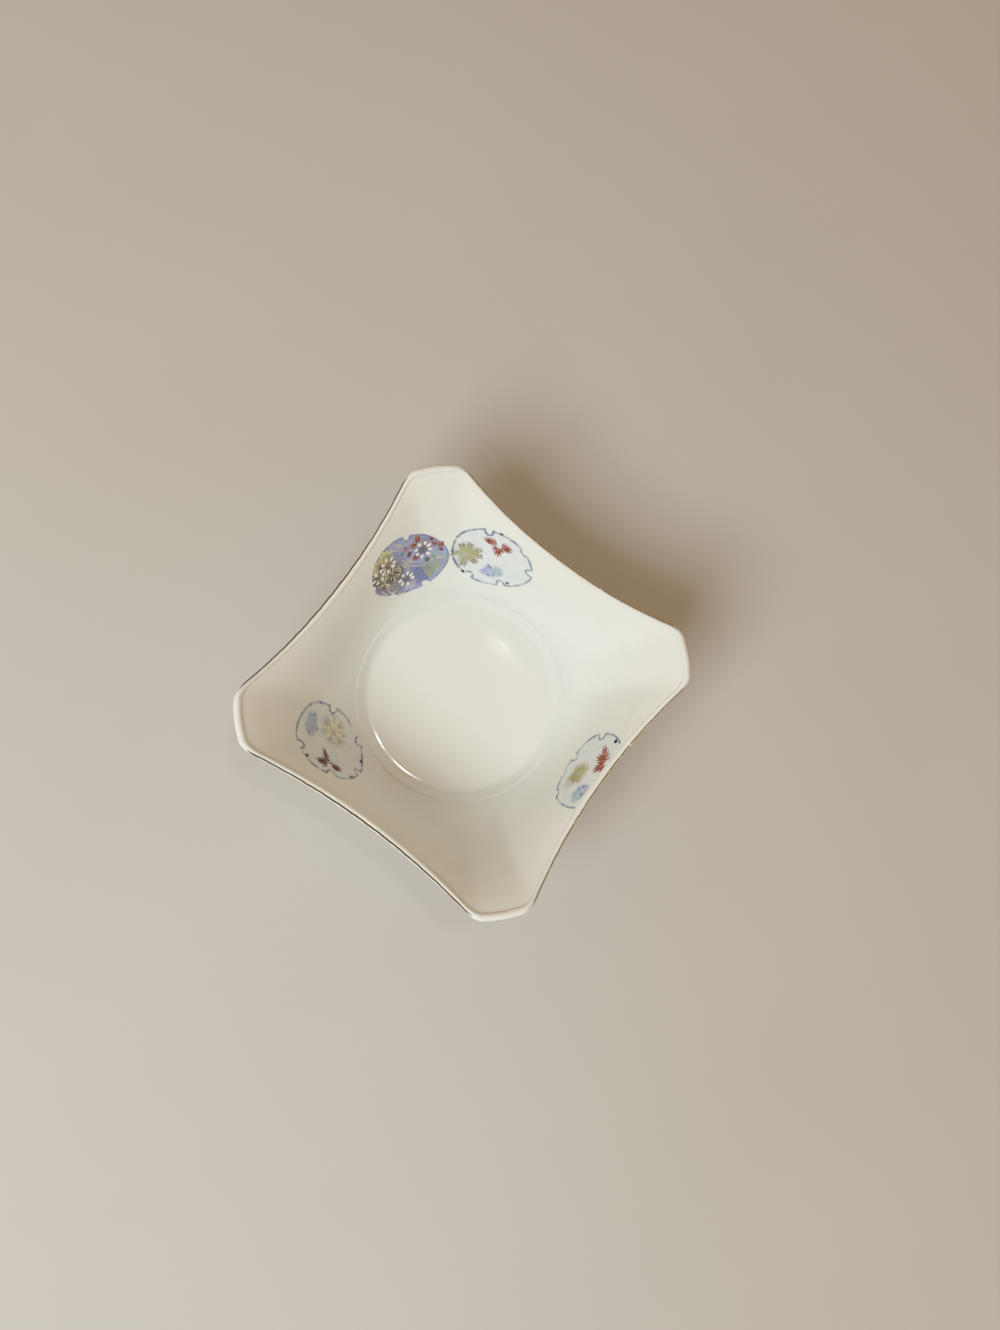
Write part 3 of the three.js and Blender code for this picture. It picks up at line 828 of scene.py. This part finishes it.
def painted_layer(spot, outline, middle=(0, 0), bottom=LAYER_BOTTOM, top=LAYER_TOP, columns=480, band=BAND):
    """A thin painted layer on the wall. It knows each point's place on the roundel and its distance to the edge."""
    stations = steps(INNER_RINGS, lambda t: t) + steps(BAND_RINGS, lambda t: 1 + t)[1:]
    bm = spun([(station, 0.0) for station in stations], columns)
    painting = bm.verts.layers.float_vector.new("painting")
    shore = bm.verts.layers.float.new("shore")
    edge_points = shoreline(outline)
    for vert in bm.verts:
        station, angle = math.hypot(vert.co.x, vert.co.y), math.atan2(vert.co.y, vert.co.x)
        rise = math.sin(angle)
        room = (spot.above - middle[1] if rise > 0 else spot.below + middle[1]) / max(abs(rise), 1e-6)
        edge = min(outline(angle), room)
        radius = min(station, 1.0) * (edge - band) + max(station - 1.0, 0.0) * band
        x, y = radius * math.cos(angle), radius * math.sin(angle)
        vert[shore] = edge_points.find((x, y, 0.0))[2]
        vert[painting] = Vector((middle[0] + x, middle[1] + y, 0.0))
    lay_on_wall(spot, bm.verts, painting, bottom)
    raised = bmesh.ops.extrude_face_region(bm, geom=bm.faces[:])["geom"]
    lay_on_wall(spot, [part for part in raised if isinstance(part, bmesh.types.BMVert)], painting, top)
    bmesh.ops.recalc_face_normals(bm, faces=bm.faces)
    return bm


# Enamel strokes

STROKE_SINK = 0.012  # how deep a stroke sits in the layer under it
STROKE_SIDES = 8


def line(start, end, bend=0.0):
    """A path from start to end that bows to the left by bend."""
    start, end = Vector(start), Vector(end)
    aside = Vector((start.y - end.y, end.x - start.x)).normalized()

    def path(t):
        return start.lerp(end, t) + aside * (bend * 4 * t * (1 - t))
    return path


def arc(middle, radius, first, last, tighten=0.0):
    """A path round a middle from one direction in degrees to another. It can tighten into a curl."""
    def path(t):
        angle = math.radians(lerp(first, last, t))
        r = radius * (1 - tighten * t)
        return Vector((middle[0] + r * math.cos(angle), middle[1] + r * math.sin(angle)))
    return path


def through(*points):
    """A smooth path through points."""
    knots = [Vector(p) for p in points]
    knots = [2 * knots[0] - knots[1], *knots, 2 * knots[-1] - knots[-2]]
    spans = len(points) - 1

    def path(t):
        span = min(int(t * spans), spans - 1)
        s = t * spans - span
        a, b, c, d = knots[span:span + 4]
        return 0.5 * (2 * b + (c - a) * s + (2 * a - 5 * b + 4 * c - d) * s ** 2 + (3 * b - a - 3 * c + d) * s ** 3)
    return path


def stroke(bm, spot, path, width, taper=0.5, height=0.1, rings=8, finish=0, pointed=0.6):
    """Lays a domed stroke of enamel along a path, from its full width to a taper of it."""
    ball = bmesh.ops.create_uvsphere(bm, u_segments=STROKE_SIDES, v_segments=rings, radius=1.0)["verts"]
    places = {}
    for vert in ball:
        t = round(math.acos(max(-1.0, min(1.0, -vert.co.z))) / math.pi, 4)
        if t not in places:
            places[t] = spot.across(path, t)
        point, aside, off = places[t]
        girth = math.hypot(vert.co.x, vert.co.y)
        fuller = girth ** (pointed - 1) if girth > LANDED else 0.0
        half = vert.co.x * fuller * width / 2 * lerp(1, taper, t)
        lift = LAYER_TOP - STROKE_SINK + max(vert.co.y, 0) * fuller * height
        vert.co = point + aside * (half * MM) + off * (lift * MM)
    for face in {face for vert in ball for face in vert.link_faces}:
        face.material_index = finish


def turned_by(vector, degrees):
    angle = math.radians(degrees)
    x, y = vector
    return Vector((x * math.cos(angle) - y * math.sin(angle), x * math.sin(angle) + y * math.cos(angle)))


def pine_crest(bm, spot, middle, tips):
    """A pine seen from above: boughs from its middle to their tips, with needles on both sides of each."""
    middle = Vector(middle)
    for tip in tips:
        bough = Vector(tip) - middle
        bend = random.uniform(-0.25, 0.25)
        stroke(bm, spot, line(middle + bough * 0.02, middle + bough, bend), 0.62, 0.6, height=0.13)
        for share in (0.22, 0.37, 0.52, 0.67, 0.82, 0.95):
            root = middle + bough * share
            needle = bough.normalized() * lerp(2.0, 1.1, share)
            for side in (-1, 1):
                tip = root + turned_by(needle, side * random.uniform(38, 56)) * random.uniform(0.8, 1.1)
                stroke(bm, spot, line(root, tip, side * 0.1), 0.42, 0.7, rings=6, finish=int(share > 0.6))


def pine_clump(bm, spot, root, tip, needles=11):
    """A bough of red pine: a thin wash from root to tip, and needles that fan out forwards over it."""
    root, tip = Vector(root), Vector(tip)
    along = (tip - root).normalized()
    length = (tip - root).length
    stroke(bm, spot, line(root + along * 0.6, root + along * length * 0.85), 1.5, 0.8, height=0.03, finish=1)
    for i in range(needles):
        share = i / (needles - 1)
        side = -1 if i % 2 else 1
        start = root + along * lerp(0.6, max(length - 2.6, length * 0.5), share)
        fan = side * lerp(62, 6, share) * random.uniform(0.85, 1.1)
        reach_out = lerp(2.3, 2.8, share) * random.uniform(0.85, 1.1)
        stroke(bm, spot, line(start, start + turned_by(along, fan) * reach_out, side * 0.12), 0.42, 0.6, height=0.12)


def blossom(bm, spot, eye, radius, petals, start):
    """A blossom of separate white petals round an eye of stamens."""
    eye = Vector(eye)
    for i in range(petals):
        out = turned_by((1, 0), start + 360 * i / petals + random.uniform(-8, 8))
        middle = radius * random.uniform(0.92, 1.12)
        half = random.uniform(0.75, 0.98)
        path = line(eye + out * (middle - half), eye + out * (middle + half), random.uniform(-0.15, 0.15))
        stroke(bm, spot, path, random.uniform(0.85, 1.1), 1.25, height=0.17, pointed=0.75)
    for i in range(5):
        at = eye + turned_by((0.46, 0), 72 * i + start)
        stroke(bm, spot, line(at, at + Vector((0.36, 0.1))), 0.46, 1.0, height=0.13, rings=6, finish=1)


def leaf(bm, spot, root, tip, width=1.3, finish=0):
    """A pair of leaf halves with a gap along the vein."""
    root, tip = Vector(root), Vector(tip)
    across = turned_by((tip - root).normalized(), 90) * (width * 0.27)
    for side in (-1, 1):
        path = line(root + across * side * 0.5, tip + across * side * 0.3, side * width * 0.12)
        stroke(bm, spot, path, width * 0.56, 0.6, height=0.11, finish=finish, pointed=0.7)


# Where the roundels lie on the wall

north_spot = Spot(math.radians(115.3), 13.5 * MM)
south_spot = Spot(math.radians(238), 17.7 * MM)
east_spot = Spot(math.radians(3.8), 4.1 * MM)
beside_north = 2 * math.asin((ROUNDEL_RADIUS + ROUNDEL_GAP / 2) * MM / inner_radius(north_spot.angle, north_spot.z))
blossom_spot = Spot(north_spot.angle + beside_north, 15.9 * MM)


# Snow-ring roundels, each with a gold pine, a red pine and a plum
# A plum is given as its middle, its half length and half width, and the direction that its teal side lies in.

SNOW_ROUNDELS = {
    "north": {
        "spot": north_spot, "notches": {17: 2.1, 53: 0.9, 116: 1.8, 247: 1.3, 302: 2.0},
        "oval": (0.07, 20), "middle": (0.8, 0),
        "drops": ((-0.2, 11.3), (8.0, -6.9), (-5.8, -10.3)),
        "crest": (-7.2, -3.2),
        "crest_tips": ((-10.9, -4.6), (-9.6, -0.3), (-7.0, 1.4), (-3.4, 1.1), (-2.4, -1.6), (-6.6, -8.0), (-3.6, -5.0)),
        "hazes": (((-6.6, -1.7), 3.4, 0.6, OLIVE_HAZE), ((-7.2, -6.0), 2.0, 0.6, MAUVE_HAZE),
                  ((-3.9, -4.5), 1.3, 0.6, MAUVE_HAZE)),
        "red_root": (0.7, 6.5), "red_tips": ((-4.8, 6.1), (5.0, 7.5), (1.4, 2.0)),
        "plum": ((2.2, -5.4), 4.7, 3.2, 38), "dots": ((0.4, -3.5), (1.2, -4.1), (2.9, -6.6), (1.7, -7.4))},
    "south": {
        "spot": south_spot, "notches": {312: 1.7, 251: 1.5, 188: 1.9, 125: 1.9, 66: 1.9},
        "oval": (0.03, 95, 1.06), "middle": (0, -0.4),
        "drops": ((-11.2, 3.2), (1.1, 11.6), (-9.2, -8.0)),
        "crest": (2.4, -5.9),
        "crest_tips": ((7.6, -7.6), (6.3, -2.6), (3.2, -1.2), (-1.4, -3.0), (-1.4, -7.8), (0.8, -10.4), (4.8, -9.8)),
        # The brown tint under the south pine is painted shade between its strokes.
        "hazes": (((2.6, -5.8), 4.2, 0.75, BROWN_PAINTED_SHADE),),
        "red_root": (-4.9, 7.4), "red_tips": ((0.5, 2.5), (-0.9, 9.4), (-7.7, 4.0)),
        "plum": ((7.8, 1.5), 4.7, 3.2, 304), "dots": ((9.6, -1.2), (6.4, 3.8), (5.8, -0.2))},
    "east": {
        "spot": east_spot, "notches": {200: 1.9, 260: 2.1, 291: 0.9, 327: 0.8},
        "oval": (0.04, 0), "middle": (0, 0),
        "drops": ((-10.9, 2.6), (4.0, -11.1)),
        "crest": (2.4, -3.4),
        "crest_tips": ((-0.6, -0.6), (-0.9, -4.0), (1.2, -6.8), (5.0, -6.3), (5.8, -3.2), (4.3, -0.4)),
        "hazes": (((2.2, -3.4), 3.5, 0.6, OLIVE_HAZE), ((5.6, -4.4), 2.2, 0.5, MAUVE_HAZE)),
        "red_root": (-4.0, 4.6), "red_tips": ((-8.6, -0.8), (-4.9, -0.6), (0.0, 1.8)),
        "plum": ((7.0, 2.8), 4.2, 3.0, 336), "dots": ((4.9, 2.6), (7.2, 3.4), (6.0, 1.4))},
}


def make_snow_roundel(place, at, gold, red, shake):
    spot = at["spot"]
    ring = painted_layer(spot, ring_outline(at["notches"], shake, *at["oval"]), at["middle"])
    wash = snow_material(f"snow ring {place}", at["hazes"], at["drops"])
    finish_piece(f"snow_ring_{place}", ring, [wash], [f"snow_roundel_{place}"])
    middle, long, short, degrees = at["plum"]
    flower = oval_outline(long, short, degrees)
    plum = painted_layer(spot, flower, middle, LAYER_TOP + 0.01, LAYER_TOP + 0.03, columns=120, band=1.4)
    teal_side = Vector(middle) + turned_by((long * 0.55, 0), degrees)
    patch = plum_material(f"plum wash {place}", middle, teal_side, at["dots"])
    finish_piece(f"plum_patch_{place}", plum, [patch], [f"blue_plum_{place}"])
    crest = bmesh.new()
    pine_crest(crest, spot, at["crest"], at["crest_tips"])
    finish_piece(f"gold_crest_{place}", crest, gold, [f"gold_pine_{place}"])
    spray = bmesh.new()
    for tip in at["red_tips"]:
        pine_clump(spray, spot, at["red_root"], tip)
    finish_piece(f"red_spray_{place}", spray, red, [f"red_pine_{place}"])


# Cobalt roundel with cherry blossom
# A blossom is given as its eye, the radius to its petals' middles, their count and the first one's direction.

BLOSSOMS = (((6.5, 0.9), 2.3, 8, 12), ((-2.2, -5.0), 2.0, 7, 8), ((-5.3, 6.0), 2.3, 8, 30), ((-9.2, 5.2), 1.9, 6, 50))
ORANGE, MAROON, ROSE, BROWN, GREEN = range(5)
LEAVES = (
    ((6.1, 4.3), (7.0, 7.5), 2.1, ORANGE), ((5.1, 3.5), (3.8, 6.3), 2.0, ORANGE), ((2.8, 4.6), (1.3, 7.1), 1.9, ROSE),
    ((3.0, 3.9), (1.3, 2.0), 1.6, MAROON), ((4.5, 0.3), (2.2, -0.6), 2.3, ORANGE), ((6.4, -2.4), (5.9, -4.8), 1.6, BROWN),
    ((9.3, 1.9), (11.2, 0.6), 1.7, ROSE), ((12.2, 1.4), (10.9, -1.5), 1.7, ORANGE), ((9.8, 2.7), (10.4, 4.2), 1.1, MAROON),
    ((10.6, -1.2), (11.4, -2.6), 1.1, MAROON), ((0.9, 6.2), (-0.1, 4.6), 0.9, GREEN), ((8.1, -2.7), (8.5, -4.6), 0.8, GREEN),
    ((-6.6, 4.6), (-4.2, 7.2), 1.9, BROWN), ((-6.6, 6.8), (-7.8, 8.8), 1.5, MAROON), ((-3.4, -1.0), (-5.1, 0.9), 1.9, BROWN),
)
GOLD_BOUGHS = {
    (-4.6, 9.4): ((-2.6, 10.2), (-4.0, 11.3), (-6.0, 10.9), (-6.6, 9.2)),
    (-7.8, 8.6): ((-7.3, 10.3), (-9.0, 9.4), (-9.8, 7.7)),
}
REEDS_ROOT = (3.9, -10.4)
SPOKES_ROOT = (-2.0, -6.2)
CURLS = (
    through((-1.9, 11.2), (-1.7, 9.8), (-0.8, 8.3), (1.8, 6.8)), through((-0.4, 10.2), (0.1, 9.1), (2.2, 7.9)),
    through((-0.8, 11.4), (0.5, 10.0), (1.6, 8.5)), through((-0.6, 3.6), (0.0, 1.6), (1.2, -0.1), (3.3, -1.3)),
    through((0.8, 1.9), (1.4, 0.4), (2.5, -0.7)), through((-0.2, 1.0), (1.0, -1.7), (4.1, -4.7), (7.0, -4.5)),
    through((-8.6, 1.3), (-8.9, -2.6), (-8.6, -5.3), (-7.3, -6.3), (-5.4, -6.1)),
    through((-8.4, -1.3), (-8.1, -3.1), (-7.1, -3.9)), through((-11.7, 7.8), (-10.3, 6.5), (-7.9, 5.4)),
    through((-11.4, 5.8), (-9.9, 4.6), (-7.6, 3.2)), through((-11.2, 3.4), (-9.7, 2.9), (-8.1, 2.6)),
    through((-11.3, 2.0), (-9.9, 0.6), (-8.3, 0.8)), through((-10.5, 8.7), (-9.2, 8.8), (-8.2, 8.9)),
    through((-4.7, 2.6), (-3.8, 2.0), (-2.9, 0.1), (-2.7, -1.8)), through((-2.6, 3.1), (-2.5, 1.0), (-2.3, -0.7)),
    through((-3.8, 0.3), (-3.4, -1.2), (-4.9, -1.3)), through((-1.1, 2.3), (-0.8, -0.5), (0.2, 0.0), (0.0, -2.8)),
    through((7.7, -3.6), (8.8, -4.6), (10.1, -5.0)), through((8.9, -3.6), (10.0, -4.6), (11.4, -4.5)),
    through((-10.6, -1.2), (-10.4, -3.4), (-9.6, -5.4)), through((-6.9, -8.4), (-4.9, -9.2), (-3.6, -8.2)),
)
TANGLE_AT = (-7.0, 2.2)  # cream dabs and dark gaps fill the ground's left side
TANGLE_REACH = (3.7, 5.4)
TANGLE_DABS = 44
COBALT_HAZES = (
    ((-7.0, 2.6), 6.0, 0.9, UMBER_THIN), ((-9.8, 4.6), 2.8, 0.9, UMBER), ((-3.9, -0.6), 2.3, 0.85, UMBER),
    ((-7.6, 0.4), 2.8, 0.8, UMBER), ((-5.4, 6.2), 1.9, 0.6, LEAF_ROSE), ((-6.8, -4.6), 3.6, 0.6, UMBER_THIN),
    ((-2.2, -5.0), 1.9, 0.75, UMBER), ((-5.6, 9.8), 3.0, 0.75, OLIVE_HAZE), ((8.2, -6.4), 4.4, 0.75, TEAL_GREY),
    ((2.2, -6.9), 3.5, 0.9, COBALT_DEEP), ((8.4, -2.0), 1.8, 0.6, TEAL_GREY), ((12.0, -2.4), 1.7, 0.7, COBALT_PALE),
    ((3.9, -5.0), 0.8, 0.6, LEAF_THIN), ((6.4, 0.9), 1.7, 0.75, UMBER), ((9.0, 2.6), 2.6, 0.5, UMBER_THIN),
)


def make_reeds(bm, spot, count=13):
    for i in range(count):
        share = i / (count - 1)
        long = 7.0 + 1.2 * math.sin(math.pi * share)
        tip = Vector(REEDS_ROOT) + turned_by((long, 0), lerp(86, 8, share))
        tip *= min(1.0, (ROUNDEL_RADIUS - 0.8) / tip.length)
        stroke(bm, spot, line(REEDS_ROOT, tip, 0.35), 0.3, 0.85, height=0.07, rings=10, finish=i % 2, pointed=0.4)


def make_curls(bm, spot):
    for path in CURLS:
        stroke(bm, spot, path, 0.38, 0.7, height=0.1, rings=16, pointed=0.4)
    for i in range(8):
        out = turned_by((1, 0), lerp(226, 318, i / 7))
        start = Vector(SPOKES_ROOT) + out * 1.5
        stroke(bm, spot, line(start, start + out * random.uniform(1.9, 2.5)), 0.34, 0.6, height=0.08)
    for _ in range(TANGLE_DABS):
        off = turned_by((math.sqrt(random.random()), 0), random.uniform(0, 360))
        start = Vector((TANGLE_AT[0] + off.x * TANGLE_REACH[0], TANGLE_AT[1] + off.y * TANGLE_REACH[1]))
        dab = turned_by((random.uniform(0.9, 1.7), 0), random.choice((-34, 60)) + random.uniform(-16, 16))
        stroke(bm, spot, line(start, start + dab, 0.15), 0.46, 0.7, rings=6, finish=random.randint(0, 1))


def make_blossom_roundel(olive, reed, cream, leaves, white):
    spot = blossom_spot
    outline = ring_outline({66: 1.5, 168: 0.8, 222: 0.8, 281: 1.6}, 2.2, 0.1, 143)
    ground = painted_layer(spot, outline, (-0.3, 0.3))
    finish_piece("cobalt_ground", ground, [cobalt_material(COBALT_HAZES)], ["blossom_roundel"])
    for i, (eye, radius, petals, first) in enumerate(BLOSSOMS, 1):
        flower = bmesh.new()
        blossom(flower, spot, eye, radius, petals, first)
        finish_piece(f"white_blossom_{i}", flower, white, [f"cherry_blossom_{i}"] if i < 4 else ())
    foliage = bmesh.new()
    for root, tip, width, finish in LEAVES:
        leaf(foliage, spot, root, tip, width, finish)
    finish_piece("orange_leaves", foliage, leaves, ["red_leaves"])
    bough = bmesh.new()
    for middle, tips in GOLD_BOUGHS.items():
        pine_crest(bough, spot, middle, tips)
    finish_piece("gold_bough", bough, olive, ["gold_spray"])
    reeds = bmesh.new()
    make_reeds(reeds, spot)
    finish_piece("gold_reeds", reeds, reed, ["gold_fan"])
    curls = bmesh.new()
    make_curls(curls, spot)
    finish_piece("cream_curls", curls, cream)


# Floor, light and the world

FLOOR_PALE = srgb(206, 204, 200)
FLOOR_SHADE = srgb(198, 196, 192)
WORLD_COLOUR = (1.0, 0.68, 0.38, 1.0)
WORLD_STRENGTH = 0.42


def make_floor():
    bm = bmesh.new()
    bmesh.ops.create_grid(bm, x_segments=1, y_segments=1, size=3.0)
    mesh = bpy.data.meshes.new("floor")
    bm.to_mesh(mesh)
    bm.free()
    mat, tree, shader = material("pale floor", Roughness=0.7)
    soft = cloud(tree, object_place(tree), 9.0, 4.0, 0.6)
    put(tree, blend(tree, soft, FLOOR_PALE, FLOOR_SHADE), shader["Base Color"])
    floor = bpy.data.objects.new("floor", mesh)
    mesh.materials.append(mat)
    scene.collection.objects.link(floor)


def make_lamp(name, azimuth, elevation, distance, size, power, colour, turn=0, glossy=True):
    """An area lamp that looks at the bowl's well from a direction in degrees, turned about that direction."""
    data = bpy.data.lights.new(name, "AREA")
    data.shape = "RECTANGLE"
    data.size, data.size_y = size
    data.energy = power
    data.color = colour
    lamp = bpy.data.objects.new(name, data)
    flat = math.cos(math.radians(elevation)) * distance
    around = math.radians(azimuth)
    lamp.location = (flat * math.cos(around), flat * math.sin(around), math.sin(math.radians(elevation)) * distance)
    aim = (Vector((0, 0, FLOOR_Z)) - lamp.location).to_track_quat("-Z", "Y")
    lamp.rotation_euler = (aim @ Quaternion((0, 0, 1), math.radians(turn))).to_euler()
    lamp.visible_glossy = glossy
    scene.collection.objects.link(lamp)


def make_world():
    world = bpy.data.worlds.new("studio")
    world.use_nodes = True
    ground = world.node_tree.nodes["Background"].inputs
    ground["Color"].default_value = WORLD_COLOUR
    ground["Strength"].default_value = WORLD_STRENGTH
    scene.world = world


make_bowl()
make_foot()
# The west and south gold lines are drawn darker as a painted dark reflection; the east and north keep the tan worn
# gold.
gold_painted_dark_reflection = gold_material("rim gold", RIM_GOLD_PAINTED_REFLECTION, 0.2, 0.6)
worn_gold = gold_material("worn rim gold", RIM_GOLD, 0.5, 0.5)
for i, side in enumerate(("east", "north", "west", "south")):
    make_gold_line(side, i * QUARTER, worn_gold if i < 2 else gold_painted_dark_reflection)
pine_gold = gold_material("pine gold", PINE_GOLD, 0.05, 0.2)
pine_olive = gold_material("pine olive", PINE_OLIVE, 0.05, 0.2)
pine_shade = gold_material("pine shade", GOLD_SHADE, 0.05, 0.2)
cream_gold = gold_material("cream gold", CREAM, 0.1, 0.1)
reed_green = gold_material("reed green", REED_GREEN, 0.1, 0.1)
red_wash = enamel_material("iron red wash", IRON_WASH, IRON_ROSE)
# A darker iron red, as painted shade, for the south ring's red pine.
red_wash_painted_shade = enamel_material("iron wash with painted shade", IRON_THIN_PAINTED_SHADE, IRON_RED_PAINTED_SHADE)
# The south pine is painted near-white as a painted highlight on its gold.
pine_painted_highlight = enamel_material("pine gold painted highlight", PINE_HIGHLIGHT, PINE_HIGHLIGHT_THIN)
iron_red = [enamel_material("iron red", IRON_RED, IRON_THIN), red_wash]
iron_red_painted_shade = [enamel_material("iron red with painted shade", IRON_RED_PAINTED_SHADE, IRON_THIN_PAINTED_SHADE), red_wash_painted_shade]
green = enamel_material("leaf green", LEAF_GREEN, LEAF_THIN)
leaf_colours = [
    enamel_material("orange leaf", ORANGE_RED, ORANGE_DARK), enamel_material("maroon leaf", LEAF_MAROON, ORANGE_DARK),
    enamel_material("rose leaf", LEAF_ROSE, LEAF_MAROON), enamel_material("brown leaf", UMBER_THIN, UMBER), green,
]
petal_white = [enamel_material("petal white", PETAL_WHITE, PETAL_THIN), green]
# The south ring's pine carries the painted highlight and its red pine the painted shade.
finishes = {"north": ([pine_olive, pine_shade], iron_red), "south": ([pine_painted_highlight, pine_painted_highlight], iron_red_painted_shade),
            "east": ([pine_olive, pine_gold], iron_red)}
for i, (place, at) in enumerate(SNOW_ROUNDELS.items()):
    make_snow_roundel(place, at, *finishes[place], 1.3 * i)
olive = [pine_olive, pine_gold]
make_blossom_roundel(olive, [reed_green, pine_olive], [cream_gold, pine_gold], leaf_colours, petal_white)
make_floor()
make_lamp("key", 261, 50, 0.9, (0.45, 0.45), 6.0, (0.80, 0.92, 1.0), glossy=False)
make_lamp("ceiling lamp", 88.3, 77.8, 1.516, (0.045, 0.022), 0.5, (1.0, 1.0, 1.0), -31)
make_lamp("second ceiling lamp", 74.4, 77.6, 1.517, (0.036, 0.027), 0.5, (1.0, 1.0, 1.0), -34)
make_world()
scene.view_settings.view_transform = "Standard"
